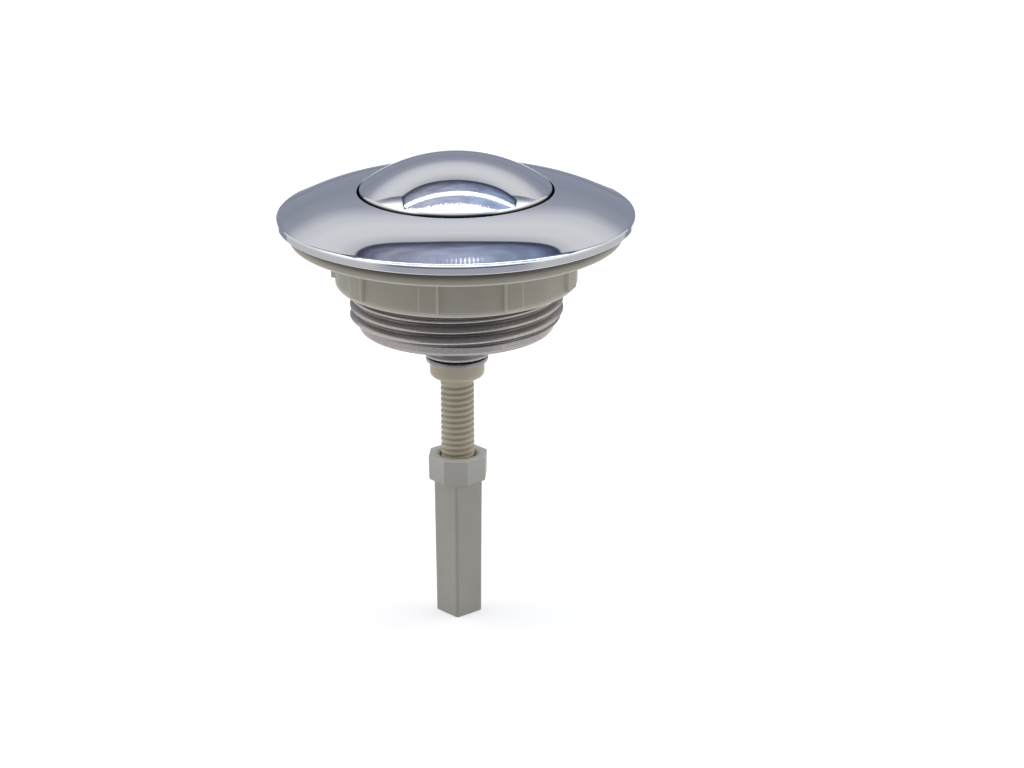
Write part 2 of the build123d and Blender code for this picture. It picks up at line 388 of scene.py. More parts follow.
def section(corners):
    """Rows of a section: straight runs between (radius, height, rounding) corners, each corner
    replaced by the arc of its rounding that touches both runs, with a row just before and just after
    the arc to keep the runs flat. The arc's points are the two touching radii turned into each other.
    A corner with no rounding is one row."""
    corners = np.array(corners, float)
    rows = []
    for i, (r, z, rounding) in enumerate(corners):
        here = np.array((r, z))
        if rounding == 0:
            rows.append(here)
            continue
        back = corners[i - 1, :2] - here
        back /= np.linalg.norm(back)
        ahead = corners[(i + 1) % len(corners), :2] - here
        ahead /= np.linalg.norm(ahead)
        half = math.acos(np.clip(back @ ahead, -1, 1)) / 2
        reach = rounding / math.tan(half)
        middle = here + (back + ahead) / np.linalg.norm(back + ahead) * rounding / math.sin(half)
        first = here + back * reach - middle
        last = here + ahead * reach - middle
        sweep = math.pi - 2 * half
        step = ARC_STEP if rounding > SMALL_ARC_R else SMALL_ARC_STEP
        count = max(3, math.ceil(sweep / math.radians(step)))
        t = np.linspace(0, 1, count + 1)[:, None]
        arc = middle + (first * np.sin((1 - t) * sweep) + last * np.sin(t * sweep)) / math.sin(sweep)
        rows += [here + back * (reach + HOLD), *arc, here + ahead * (reach + HOLD)]
    return np.array(rows)


def rise(value, start, reach):
    """Share of the way from start over the distance reach, held between 0 and 1."""
    return np.clip((value - start) / reach, 0, 1)


def bell(value, middle, width):
    """Bell curve round a place: e to the power of minus the square of the distance in widths."""
    return np.exp(-((value - middle) / width) ** 2)


def soft_clip(x, w):
    """Clips x to 0 to 1 with both bends rounded by parabolas of half-width w."""
    low = np.where(x < -w, 0, np.where(x < w, (x + w) ** 2 / (4 * w), x))
    return 1 - np.where(1 - low < -w, 0, np.where(1 - low < w, (1 - low + w) ** 2 / (4 * w), 1 - low))


def groove_depth(theta, z, pitch, crest, depth, bottom, top, soft):
    """Depth of a right-hand thread groove at angle theta and height z: the distance along the axis to
    the nearest turn of the groove's centre line sets the place on a trapezium with flanks of 30
    degrees, whose bends are rounded over the share soft of a flank, and the last turn fades."""
    turns = (z - bottom) / pitch - theta / TURN
    nearest = np.round(turns)
    away = np.abs(turns - nearest) * pitch
    mouth = (pitch - crest) / 2
    fade = rise(top - bottom - pitch * (nearest + theta / TURN), 0, THREAD_FADE * pitch)
    return depth * soft_clip((mouth - away) / (depth * FLANK), soft) * fade


def spun(rows, theta, tone=0.0):
    """Grids of a turned section: every row's radius, height and tone repeated round the axis."""
    flat = np.ones_like(theta)
    return rows[:, :1] * flat, rows[:, 1:] * flat, (tone + 0 * rows[:, 0])[:, None] * flat


def skin(name, parts, theta, loop):
    """Mesh over stacked grids of radius, height and tone against the angle theta round the axis."""
    radius, height, tone = (np.concatenate(grids) for grids in zip(*parts))
    points = np.stack((radius * np.cos(theta), radius * np.sin(theta), height), -1)
    return grid_mesh(name, points, tone, loop)


def grid_mesh(name, grid, tone, loop):
    """Smooth mesh over a grid of points in millimetres. Columns close on themselves. Rows do so when
    loop is true, and otherwise the first and last rows shrink to a pole at their middle. Faces are
    turned to point outward: the cones from the origin to the faces then add up to a positive volume.
    The tone goes with the points and tells a finish where its second colour shows, above 0, which on
    the sleeve's head is its own paler colour and elsewhere is painted highlights and painted shade, and
    where a painted shadow lies, below 0."""
    rows, cols = tone.shape
    column = np.arange(cols)
    beside = np.roll(column, -1)
    if loop:
        points = grid.reshape(-1, 3) * MM
        tone = tone.ravel()
        row = np.arange(rows)[:, None] * cols
        after = np.roll(row, -1, 0)
        tris = np.zeros((0, 3), int)
    else:
        points = np.concatenate((grid[:1].mean(1), grid[1:-1].reshape(-1, 3), grid[-1:].mean(1))) * MM
        tone = np.concatenate((tone[0, :1], tone[1:-1].ravel(), tone[-1, :1]))
        row = 1 + np.arange(rows - 3)[:, None] * cols
        after = row + cols
        last = len(points) - 1
        tris = np.concatenate((
            np.stack((0 * column, 1 + beside, 1 + column), -1),
            np.stack((0 * column + last, last - cols + column, last - cols + beside), -1)))
    quads = np.stack((row + column, row + beside, after + beside, after + column), -1).reshape(-1, 4)
    halves = np.concatenate((quads[:, (0, 1, 2)], quads[:, (0, 2, 3)], tris))
    a, b, c = (points[halves[:, i]] for i in range(3))
    if (np.cross(a, b) * c).sum() < 0:
        quads = quads[:, ::-1]
        tris = tris[:, ::-1]
    corners = np.concatenate((quads.ravel(), tris.ravel())).astype(np.int32)
    starts = np.concatenate((np.arange(len(quads)) * 4, len(quads) * 4 + np.arange(len(tris)) * 3))
    mesh = bpy.data.meshes.new(name)
    mesh.vertices.add(len(points))
    mesh.vertices.foreach_set("co", points.astype(np.float32).ravel())
    mesh.loops.add(len(corners))
    mesh.loops.foreach_set("vertex_index", corners)
    mesh.polygons.add(len(starts))
    mesh.polygons.foreach_set("loop_start", starts.astype(np.int32))
    mesh.update(calc_edges=True)
    mesh.validate()
    mesh.shade_smooth()
    mesh.attributes.new("tone", "FLOAT", "POINT").data.foreach_set("value", tone.astype(np.float32))
    obj = bpy.data.objects.new(name, mesh)
    bpy.context.scene.collection.objects.link(obj)
    return obj


# Pieces

def crown_rows(drop, count):
    """Cubic Bezier from the button's hole to the rim's rounding, whose handles lie along the slopes at
    its two ends, lowered by drop."""
    t = np.linspace(0, 1, count)[:, None]
    slopes = np.radians((HOLE_SLOPE, RIM_SLOPE))
    hole_fall, rim_fall = np.stack((np.cos(slopes), -np.sin(slopes)), -1)
    hole = np.array((HOLE_R, CROWN_HEIGHT))
    rim = rim_rows(2)[0]
    first = hole + HOLE_HANDLE * hole_fall
    second = rim - RIM_HANDLE * rim_fall
    rows = (1 - t) ** 3 * hole + 3 * t * (1 - t) ** 2 * first + 3 * t * t * (1 - t) * second + t ** 3 * rim
    return rows - (0, drop)


def rim_rows(count):
    """Two arcs of the rim's rounding: a wide one from the crown's slope to a steeper one, and a tight
    one from there to upright. A point of an arc lies at its radius from its centre, along the normal."""
    soft = np.radians(np.linspace(RIM_SLOPE, RIM_BREAK, count))[:, None]
    tight = np.radians(np.linspace(RIM_BREAK, 90, count))[1:, None]
    soft_out, tight_out = (np.hstack((np.sin(lean), np.cos(lean))) for lean in (soft, tight))
    tight_centre = np.array((FLANGE_R - RIM_EDGE_R, RIM_SIDE))
    soft_centre = tight_centre + (RIM_EDGE_R - RIM_SOFT_R) * soft_out[-1]
    return np.concatenate((soft_centre + RIM_SOFT_R * soft_out, tight_centre + RIM_EDGE_R * tight_out))


def housing():
    """Flange, threaded shank, end wall and guide neck: one closed section turned round the axis. The
    thread's groove is taken off the shank's radius, and a cone cuts the thread's lower end."""
    theta = angles(PLATED_POINTS)
    under = crown_rows(FLANGE_WALL, UNDER_ROWS)
    hollow = (under[:, 0] > THREAD_R) & (under[:, 0] < SEAT_INNER_R) & (under[:, 1] > 0)
    under = under[hollow][::-UNDER_EACH]
    # The crown's first two rows lie within the hole's rounding, and its last row is the rim's first
    upper = section(
        [(BORE_R, STOP_HEIGHT, 0), (HOLE_R, STOP_HEIGHT, FINE_EDGE), (HOLE_R, CROWN_HEIGHT, HOLE_EDGE_R)]
        + plain(crown_rows(0, CROWN_ROWS)[2:-1]) + plain(rim_rows(RIM_ROWS))
        + [(FLANGE_R, 0, RIM_LOWER_R), (SEAT_INNER_R, 0, SEAT_EDGE_R)]
        + plain(under) + [(THREAD_R, under[-1, 1], SMALL_EDGE), (THREAD_R, SHANK_TOP, 0)])
    thread_z = np.arange(THREAD_START, THREAD_BOTTOM, -THREAD_PITCH / THREAD_ROWS)
    thread_z = np.append(thread_z, THREAD_BOTTOM)[:, None] + 0 * theta
    cut = groove_depth(theta, thread_z, THREAD_PITCH, THREAD_CREST, THREAD_DEPTH,
                       THREAD_BOTTOM - THREAD_LEAD, THREAD_TOP, THREAD_SOFT)
    lead_in = LEAD_IN_R + LEAD_IN_SLOPE * np.maximum(thread_z - THREAD_BOTTOM, 0)
    lower = section([
        (END_R + MARGIN, THREAD_BOTTOM, 0), (END_R, THREAD_BOTTOM, FINE_EDGE),
        (END_R, SHANK_END, END_EDGE_R), (NECK_R, SHANK_END, SMALL_EDGE),
        (NECK_R, NECK_BOTTOM, NECK_EDGE_R), (GUIDE_R, NECK_BOTTOM, SMALL_EDGE),
        (GUIDE_R, FLOOR_TOP, FINE_EDGE), (BORE_R, FLOOR_TOP, SMALL_EDGE),
        (BORE_R, STOP_HEIGHT - FINE_EDGE, 0)])
    # Painted shade: the hole is dark a little below its edge, and the roots of the thread are half dark
    radius, height = upper.T
    hole_shade = rise(height, CROWN_HEIGHT - HOLE_FADE, -HOLE_FADE) * (radius < HOLE_R + FINE_EDGE)
    root_shade = ROOT_SHADE * cut / THREAD_DEPTH
    # Painted shade: the neck is dark down to its rounded lip, and so is the rounding of the shank's end
    radius, height = lower.T
    outside = radius > BORE_R
    on_neck = (height < SHANK_END + FINE_EDGE) & ~outside
    neck_shade = NECK_SHADE * rise(height, NECK_BOTTOM + NECK_LIP, NECK_FADE) * on_neck
    end_shade = END_SHADE * rise(height, SHANK_END + END_EDGE_R, -END_EDGE_R) * outside
    thread = (np.minimum(THREAD_R - cut, lead_in), thread_z, root_shade)
    parts = [spun(upper, theta, hole_shade), thread, spun(lower, theta, neck_shade + end_shade)]
    return skin("plated_housing", parts, theta, loop=True)


def cap_rows(radius, top, reach, count):
    """Arc of a sphere's section from the axis out to a distance reach, with its top at a height."""
    r = np.linspace(0, reach, count)
    return np.stack((r, top - radius + np.sqrt(radius ** 2 - r ** 2)), -1)


def button():
    """Dome, land, guide skirt, spring ledge and the socket for the rod: a section from pole to pole,
    turned round the axis. The dome is part of a sphere, and its inside another with the wall between
    them."""
    theta = angles(PLATED_POINTS)
    # The sphere goes through the dome's top and its edge
    dome_rise = DOME_TOP - DOME_EDGE
    dome_radius = (BUTTON_R ** 2 + dome_rise ** 2) / (2 * dome_rise)
    dome = cap_rows(dome_radius, DOME_TOP, BUTTON_R, DOME_ROWS)
    inner = cap_rows(dome_radius - BUTTON_WALL, DOME_TOP - BUTTON_WALL, SKIRT_INNER_R, DOME_INNER_ROWS)
    inner = inner[inner[:, 0] > LEDGE_R]
    # The dome's last four rows lie within the rounding of its edge
    cap = section(
        plain(dome[:-4])
        + [(BUTTON_R, DOME_EDGE, DOME_EDGE_R), (BUTTON_R, LAND_BOTTOM, MOULD_EDGE),
           (SKIRT_R, LAND_BOTTOM, FINE_EDGE), (SKIRT_R, SKIRT_BOTTOM, MOULD_EDGE),
           (SKIRT_INNER_R, SKIRT_BOTTOM, MOULD_EDGE), (SKIRT_INNER_R, inner[-1, 1], MOULD_EDGE)]
        + plain(inner[-2::-1])
        + [(LEDGE_R, LEDGE_HEIGHT, MOULD_EDGE), (BOSS_R, LEDGE_HEIGHT, FINE_EDGE),
           (BOSS_R, SOCKET_MOUTH, MOULD_EDGE), (SOCKET_R, SOCKET_MOUTH, MOULD_EDGE),
           (SOCKET_R, SOCKET_TOP, FINE_EDGE), (0, SOCKET_TOP, 0)])
    # Painted shade: the button's side is dark where it dips into the gap
    gap_shade = rise(cap[:, 1], DOME_EDGE + GAP_LIFT, -GAP_FADE)
    return skin("plated_button", [spun(cap, theta, gap_shade)], theta, loop=False)


def rod():
    """Stem, shoulder, threaded rod and its pointed tip: a section from pole to pole, turned round the
    axis, with the thread's groove taken off the rod's radius."""
    theta = angles(ROD_POINTS)
    shoulder = section([
        (0, SOCKET_TOP, 0), (STEM_R, SOCKET_TOP, STEM_EDGE_R), (STEM_R, SHOULDER_TOP, FINE_EDGE),
        (SHOULDER_R, SHOULDER_TOP, MOULD_EDGE), (SHOULDER_R, SHOULDER_BOTTOM, SHOULDER_EDGE_R),
        (ROD_R, SHOULDER_BOTTOM, ROD_ROOT_R), (ROD_R, ROD_TOP, 0)])
    groove = (ROD_PITCH, ROD_CREST, ROD_DEPTH, ROD_TIP - ROD_LEAD, SHOULDER_BOTTOM - ROD_NECK, ROD_SOFT)
    point = ROD_TIP + ROD_POINT
    rod_z = np.arange(ROD_START, point, -ROD_PITCH / ROD_ROWS)[:, None] + 0 * theta
    cut = groove_depth(theta, rod_z, *groove)
    tip_z = np.linspace(point, ROD_TIP, TIP_ROWS)[:, None] + 0 * theta
    tip_r = np.minimum(ROD_R - groove_depth(theta, tip_z, *groove), ROD_R - (point - tip_z))
    end = np.array([(ROD_R - ROD_POINT - FINE_EDGE, ROD_TIP), (0, ROD_TIP)])
    # Painted shade: the thread's roots are darker by the groove's depth
    thread = (ROD_R - cut, rod_z, cut / ROD_DEPTH)
    parts = [spun(shoulder, theta), thread, (tip_r, tip_z, 0 * tip_r), spun(end, theta)]
    return skin("acetal_rod", parts, theta, loop=False)


def washer():
    """Flat ring with rounded edges: a closed section turned round the axis."""
    theta = angles(WASHER_POINTS)
    ring = section([
        (WASHER_HOLE_R, WASHER_TOP, FINE_EDGE), (WASHER_R, WASHER_TOP, WASHER_BEVEL),
        (WASHER_R, WASHER_BOTTOM, WASHER_BEVEL), (WASHER_HOLE_R, WASHER_BOTTOM, FINE_EDGE)])
    return skin("steel_washer", [spun(ring, theta)], theta, loop=True)


def spring():
    """Round wire along a helix: a circle square to the helix, carried along it, with a flat cap at
    each end."""
    climb = SPRING_TOP - SPRING_BOTTOM - 2 * WIRE_R
    phi = np.linspace(0, SPRING_TURNS * TURN, int(SPRING_TURNS * COIL_POINTS) + 1)
    slope = climb / (SPRING_TURNS * TURN * COIL_R)
    out = np.stack((np.cos(phi), np.sin(phi), 0 * phi), -1)
    along = np.stack((-np.sin(phi), np.cos(phi), 0 * phi + slope), -1)
    up = np.cross(along / math.hypot(1, slope), -out)
    height = SPRING_BOTTOM + WIRE_R + climb * phi / phi[-1]
    centre = COIL_R * out + height[:, None] * (0, 0, 1)
    around = angles(WIRE_POINTS)[:, None]
    rings = centre[:, None] + WIRE_R * (out[:, None] * np.cos(around) + up[:, None] * np.sin(around))
    grid = np.concatenate((rings[:1], rings, rings[-1:]))
    return grid_mesh("steel_spring", grid, np.zeros(grid.shape[:2]), loop=False)


def nut():
    """Flange, collar and threaded bore: a closed section turned round the axis. Each pad adds to the
    collar's radius where the angle from the pad's middle is within half its width, down to the height
    where the pads end."""
    step = 360 / PAD_COUNT
    edge = math.degrees(math.atan(PAD_WIDTH / 2 / (NUT_COLLAR_R + PAD_PROUD)))
    half = np.concatenate((
        np.linspace(0, edge + PAD_CLEAR[0], PAD_COLUMNS), edge + np.array(PAD_SIDE_COLUMNS),
        np.linspace(edge + PAD_CLEAR[1], step / 2, GAP_COLUMNS)))
    columns = np.concatenate((-half[:0:-1], half[:-1]))
    theta = np.radians((PAD_TURN + step * np.arange(PAD_COUNT)[:, None] + columns).ravel())
    off = np.tile(np.abs(columns), PAD_COUNT)
    pad = soft_clip((edge + PAD_SIDE_RISE / 2 - off) / PAD_SIDE_RISE, PAD_SOFT) * PAD_PROUD
    upper = section([
        (NUT_BORE_R + MARGIN, NUT_TOP, 0), (NUT_FLANGE_R, NUT_TOP, NUT_EDGE_R),
        (NUT_FLANGE_R, NUT_FLANGE_MIDDLE, 0), (NUT_FLANGE_R, NUT_FLANGE_BOTTOM, NUT_EDGE_R),
        (NUT_COLLAR_R + PAD_PROUD + MARGIN, NUT_FLANGE_BOTTOM, 0)])
    wall_z = np.concatenate((
        NUT_FLANGE_BOTTOM + np.array(COLLAR_TOP_ROWS), PAD_END + np.array(PAD_END_ROWS),
        [NUT_BOTTOM + NUT_EDGE_R + HOLD]))[:, None]
    grip = soft_clip((wall_z - PAD_END + PAD_END_RISE / 4) / PAD_END_RISE, PAD_SOFT)
    # The wall and the bore have rows of their own, so this section starts and ends at its roundings
    bottom = section([
        (NUT_COLLAR_R, NUT_FLANGE_BOTTOM, 0), (NUT_COLLAR_R, NUT_BOTTOM, NUT_EDGE_R),
        (NUT_BORE_R, NUT_BOTTOM, NUT_MOUTH_R), (NUT_BORE_R, NUT_TOP, 0)])[2:-1]
    bore_z = np.arange(NUT_THREAD_BOTTOM, NUT_THREAD_TOP, THREAD_PITCH / NUT_ROWS)[:, None] + 0 * theta
    cut = groove_depth(theta % TURN, bore_z - THREAD_PITCH / 2, THREAD_PITCH, THREAD_CREST,
                       NUT_THREAD_DEPTH, THREAD_BOTTOM - THREAD_LEAD, NO_FADE, NUT_SOFT)
    cut *= rise(bore_z, NUT_THREAD_BOTTOM, NUT_THREAD_FADE) * rise(bore_z, NUT_THREAD_TOP, -NUT_THREAD_FADE)
    # Painted highlights make the moulding's edges lighter: both lower rims, and the sides and ends of the
    # pads
    radius, height = upper.T
    on_edge = radius > NUT_FLANGE_R - NUT_EDGE_R
    flange_light_and_shade = bell(height, NUT_FLANGE_BOTTOM + HIGHLIGHT_LIFT, FLANGE_HIGHLIGHT) * on_edge
    # Painted shadow darkens the flange's upright side, close under the chrome rim
    rim_shadow = np.minimum(rise(height, NUT_FLANGE_BOTTOM + RIM_SHADOW_START, RIM_SHADOW_FADE), RIM_SHADOW_MOST)
    flange_light_and_shade -= rim_shadow * (radius > NUT_FLANGE_R - NUT_EDGE_R / 2)
    radius, height = bottom.T
    on_edge = radius > NUT_COLLAR_R - NUT_EDGE_R - FINE_EDGE
    collar_highlight = bell(height, NUT_BOTTOM + HIGHLIGHT_LIFT, COLLAR_HIGHLIGHT) * on_edge
    pad_side_highlight = bell(off, edge - PAD_SIDE_INSET, PAD_SIDE_HIGHLIGHT) * grip
    pad_end_highlight = bell(wall_z, PAD_END + PAD_END_LIFT, PAD_END_HIGHLIGHT) * (off < edge)
    wall_highlight = np.maximum(np.maximum(pad_side_highlight, pad_end_highlight), bell(wall_z, NUT_BOTTOM + HIGHLIGHT_LIFT, COLLAR_HIGHLIGHT))
    wall = (NUT_COLLAR_R + grip * pad, wall_z + 0 * theta, wall_highlight)
    bore = (NUT_BORE_R + cut, bore_z, 0 * bore_z)
    parts = [spun(upper, theta, flange_light_and_shade), wall, spun(bottom, theta, collar_highlight), bore]
    return skin("beige_nut", parts, theta, loop=True)


def polygon_radius(theta, sides, across, corner_r, turn):
    """Distance from the axis to a regular polygon with rounded corners: a flat lies at half the width
    across divided by the cosine from its normal, and a corner is the far side of a circle that touches
    its two flats."""
    piece = TURN / sides
    from_flat = (theta - turn + piece / 2) % piece - piece / 2
    from_corner = piece / 2 - np.abs(from_flat)
    apothem = across / 2
    centre = (apothem - corner_r) / math.cos(piece / 2)
    touch = math.atan2(corner_r * math.sin(piece / 2), centre + corner_r * math.cos(piece / 2))
    bend = np.minimum(from_corner, touch)
    corner = centre * np.cos(bend) + np.sqrt(corner_r ** 2 - (centre * np.sin(bend)) ** 2)
    return np.where(from_corner < touch, corner, apothem / np.cos(from_flat))


def sleeve():
    """Eight-sided head on a square tapering body: rings of radii from the bottom of the rod's hole up
    its threaded wall, out over the head and down to the foot."""
    theta = angles(SLEEVE_POINTS)
    head_turn = math.radians(-90 + SLEEVE_TURN)
    body_turn = head_turn + math.radians(45)
    mouth = HEAD_TOP - MOUTH_BEVEL
    rows = [(r + 0 * theta, ROD_HOLE_BOTTOM) for r in (0, ROD_HOLE_RING, ROD_HOLE_R - HOLD, ROD_HOLE_R)]
    start = ROD_HOLE_BOTTOM + FINE_EDGE
    for z in np.arange(start, mouth, ROD_PITCH / HOLE_ROWS):
        cut = groove_depth(theta, z - ROD_PITCH / 2, ROD_PITCH, ROD_CREST, ROD_HOLE_THREAD,
                           ROD_TIP - ROD_LEAD, NO_FADE, HOLE_SOFT)
        grown = min(rise(z, start, ROD_HOLE_FADES[0]), rise(z, mouth, -ROD_HOLE_FADES[1]))
        rows.append((ROD_HOLE_R - (ROD_HOLE_THREAD - cut) * grown, z))
    rows += [(ROD_HOLE_R + t * MOUTH_BEVEL + 0 * theta, mouth + t * MOUTH_BEVEL) for t in MOUTH_SHARES]
    for inset, depth in ((HEAD_RING, 0), *HEAD_EDGE):
        ring = polygon_radius(theta, 8, HEAD_ACROSS - 2 * inset, HEAD_CORNER_R, head_turn)
        rows.append((ring, HEAD_TOP - depth))
    head_end_across = HEAD_ACROSS - 2 * math.tan(math.radians(HEAD_DRAFT)) * (HEAD_TOP - HEAD_BOTTOM)
    for inset, depth in HEAD_EDGE[::-1]:
        ring = polygon_radius(theta, 8, head_end_across - 2 * inset, HEAD_CORNER_R, head_turn)
        rows.append((ring, HEAD_BOTTOM + depth))
    # Rows of the body, each with its share of the way down, height and inset
    body = [(0, HEAD_BOTTOM, -BODY_RING), (0, HEAD_BOTTOM, -HOLD)]
    body += [(0, HEAD_BOTTOM - HOLD, 0), (0, HEAD_BOTTOM - MARGIN, 0)]
    body_rows = np.linspace(*BODY_SHARES, BODY_ROWS)
    body += [(share, HEAD_BOTTOM + share * (FOOT_HEIGHT - HEAD_BOTTOM), 0) for share in body_rows]
    body += [(1, FOOT_HEIGHT + height, inset) for inset, height in FOOT_EDGE]
    for t, z, inset in body:
        across = BODY_ACROSS + t * (BODY_END_ACROSS - BODY_ACROSS)
        rows.append((polygon_radius(theta, 4, across - 2 * inset, BODY_CORNER_R, body_turn), z))
    rows.append((0 * theta, FOOT_HEIGHT))
    radius = np.array([r for r, z in rows])
    height = np.array([z for r, z in rows])[:, None] + 0 * theta
    # The head's faces are a little paler and cooler than the body, and its top is paler still: a painted
    # highlight where light falls from above
    tone = HEAD_TONE * rise(height, HEAD_BOTTOM - HEAD_FADE / 2, HEAD_FADE)
    tone += HEAD_TONE * (height > HEAD_TOP - HEAD_TOP_DEPTH)
    return skin("grey_sleeve", [(radius, height, tone)], theta, loop=False)


# Finishes

SMOOTH = {"interpolation_type": "SMOOTHSTEP"}
# The mix node's factor and colours are its inputs 0, 6 and 7, and the mixed colour is its output 2
COLOURS = {"data_type": "RGBA", "out": 2}


def srgb(text):
    """Linear colour from a hex colour as the eye reads it."""
    parts = [int(text[i:i + 2], 16) / 255 for i in (0, 2, 4)]
    return tuple(c / 12.92 if c <= 0.04045 else ((c + 0.055) / 1.055) ** 2.4 for c in parts) + (1.0,)


def empty_tree(owner):
    """Node tree of a material or a world, with nothing in it."""
    owner.use_nodes = True
    owner.node_tree.nodes.clear()
    return owner.node_tree


def node(tree, kind, inputs=(), out=0, stops=(), **settings):
    """Adds a node with its settings, and returns one of its outputs. The inputs, in order or by name,
    are values or links from other nodes, and stops are the (place, colour) stops of a colour ramp."""
    made = tree.nodes.new("ShaderNode" + kind)
    for key, value in settings.items():
        setattr(made, key, value)
    for key, value in inputs.items() if isinstance(inputs, dict) else enumerate(inputs):
        if isinstance(value, bpy.types.NodeSocket):
            tree.links.new(value, made.inputs[key])
        else:
            made.inputs[key].default_value = value
    for i, (spot, colour) in enumerate(stops):
        band = made.color_ramp.elements
        stop = band[i] if i < len(band) else band.new(spot)
        stop.position = spot
        stop.color = colour
    return made.outputs[out] if len(made.outputs) else None


def plated(name, bright, dull, painted_shade, rough, dull_rough):
    """Bright plating, which the eye reads as a cool mirror with a faint swell above the seat on the
    lid, and as dull, grainy metal below it. Painted shade darkens it where the mesh's tone rises: in the
    gap round the button, the roots of the thread, the neck and the rounding of the shank's end."""
    made = bpy.data.materials.new(name)
    tree = empty_tree(made)
    coords = node(tree, "TexCoord", out="Object")
    height = node(tree, "SeparateXYZ", (coords,), out="Z")
    low = node(tree, "MapRange", (height, DULL_EDGE * MM, -DULL_EDGE * MM), **SMOOTH)
    speck, swell, grain = (
        node(tree, "TexNoise", {"Vector": coords, "Scale": 1 / (width * MM), "Detail": detail}, out="Fac")
        for width, detail in ((SPECK, 3.0), (SWELL, 1.0), (CAST_GRAIN, 4.0)))
    shade = tuple(CAST_SHADE * c for c in srgb(dull)[:3]) + (1.0,)
    cast = node(tree, "ValToRGB", (grain,), stops=list(zip(CAST_MIDDLE, (shade, srgb(dull)))))
    metal = node(tree, "Mix", {0: low, 6: srgb(bright), 7: cast}, **COLOURS)
    # Painted shade: where the mesh's tone rises, the dark colour is mixed into the metal
    tone = node(tree, "Attribute", out="Fac", attribute_name="tone")
    colour = node(tree, "Mix", {0: tone, 6: metal, 7: srgb(painted_shade)}, **COLOURS)
    dull_range = [dull_rough * share for share in EVEN]
    dull_sheen = node(tree, "MapRange", (speck, *NOISE_MIDDLE, *dull_range), **SMOOTH)
    sheen = node(tree, "Mix", {0: low, 2: rough, 3: dull_sheen}, data_type="FLOAT")
    waves = node(tree, "Bump", {"Height": swell, "Strength": 1.0, "Distance": 0.05 * MM})
    speck_strength = node(tree, "Math", (low, SPECK_STRENGTH), operation="MULTIPLY")
    specks = node(tree, "Bump", {
        "Height": speck, "Strength": speck_strength, "Distance": 0.02 * MM, "Normal": waves})
    shader = node(tree, "BsdfPrincipled", {
        "Base Color": colour, "Metallic": 1.0, "Roughness": sheen, "Normal": specks})
    node(tree, "OutputMaterial", (shader,))
    return made


def moulded(name, colour, shade, accent, shadow_colour, rough):
    """Satin moulded plastic: an even tone with faint cloudy mottling and a very fine skin texture, a
    second tone where the mesh's tone rises above 0, and a painted shadow where it falls below."""
    made = bpy.data.materials.new(name)
    tree = empty_tree(made)
    coords = node(tree, "TexCoord", out="Object")
    cloud, fine = (
        node(tree, "TexNoise", {"Vector": coords, "Scale": 1 / (width * MM), "Detail": detail}, out="Fac")
        for width, detail in ((CLOUD, 4.0), (SKIN_GRAIN, 2.0)))
    even = node(tree, "ValToRGB", (cloud,), stops=list(zip(NOISE_MIDDLE, (srgb(shade), srgb(colour)))))
    tone = node(tree, "Attribute", out="Fac", attribute_name="tone")
    # The accent is the sleeve head's own paler colour with a painted highlight on its top, painted
    # highlights on the nut's edges, and painted shade in the rod's thread roots
    accent_and_painted_light = node(tree, "Mix", {0: tone, 6: even, 7: srgb(accent)}, **COLOURS)
    # Painted shadow where the tone falls below 0
    shadow_share = node(tree, "MapRange", (tone, 0.0, -1.0), **SMOOTH)
    shadowed = node(tree, "Mix", {0: shadow_share, 6: accent_and_painted_light, 7: srgb(shadow_colour)}, **COLOURS)
    rough_range = [rough * share for share in EVEN]
    sheen = node(tree, "MapRange", (fine, *NOISE_MIDDLE, *rough_range), **SMOOTH)
    bumps = node(tree, "Bump", {"Height": fine, "Strength": 0.15, "Distance": 0.02 * MM})
    shader = node(tree, "BsdfPrincipled", {"Base Color": shadowed, "Roughness": sheen, "Normal": bumps})
    node(tree, "OutputMaterial", (shader,))
    return made


def steel(name, colour, rough):
    """Plain steel, which the eye reads as grey metal with small dents and patches of different sheen."""
    made = bpy.data.materials.new(name)
    tree = empty_tree(made)
    coords = node(tree, "TexCoord", out="Object")
    scale = 1 / (STEEL_PATCH * MM)
    patch = node(tree, "TexNoise", {"Vector": coords, "Scale": scale, "Detail": 4.0}, out="Fac")
    rough_range = [rough * share for share in UNEVEN]
    sheen = node(tree, "MapRange", (patch, *NOISE_MIDDLE, *rough_range), **SMOOTH)
    bumps = node(tree, "Bump", {"Height": patch, "Strength": 0.4, "Distance": 0.05 * MM})
    shader = node(tree, "BsdfPrincipled", {
        "Base Color": srgb(colour), "Metallic": 1.0, "Roughness": sheen, "Normal": bumps})
    node(tree, "OutputMaterial", (shader,))
    return made


# Housing and button: a cool mirror above the lid, dull and grainy on the shank, with painted shade in the
# gap, thread roots and neck
chrome = plated(
    "chrome-plated ABS", bright="d2d4da", dull="c2bcba", painted_shade="1a191b", rough=0.04, dull_rough=0.32)
# Nut: a grey beige with painted highlights on its edges, and a painted shadow under the chrome rim
beige = moulded(
    "beige moulded ABS", colour="bab5a8", shade="b3aea0", accent="e2dece", shadow_colour="5c564c", rough=0.42)
# Rod: a warmer tan with painted shade in the roots of its thread
acetal = moulded(
    "tan moulded acetal", colour="cfc6af", shade="c7bea6", accent="aca38c", shadow_colour="6a6252", rough=0.40)
# Sleeve: a plain grey, paler and cooler on its head, with a painted highlight on the head's top
grey = moulded(
    "grey moulded ABS", colour="b3b0a6", shade="adaa9f", accent="d6d5d1", shadow_colour="5e5c58", rough=0.45)
# Washer: mid grey, half dull metal. Spring: brighter wire
washer_steel = steel("stamped steel", colour="9c989e", rough=0.32)
spring_steel = steel("stainless spring wire", colour="c4c4c6", rough=0.25)


# Each piece on its body, in place of its node

def place(obj, body, node_name, material):
    """Gives a piece its finish and its CAD body, and hides the CAD node that it stands in for."""
    obj.data.materials.append(material)
    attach(obj, body)
    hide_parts(node_name)
    return obj


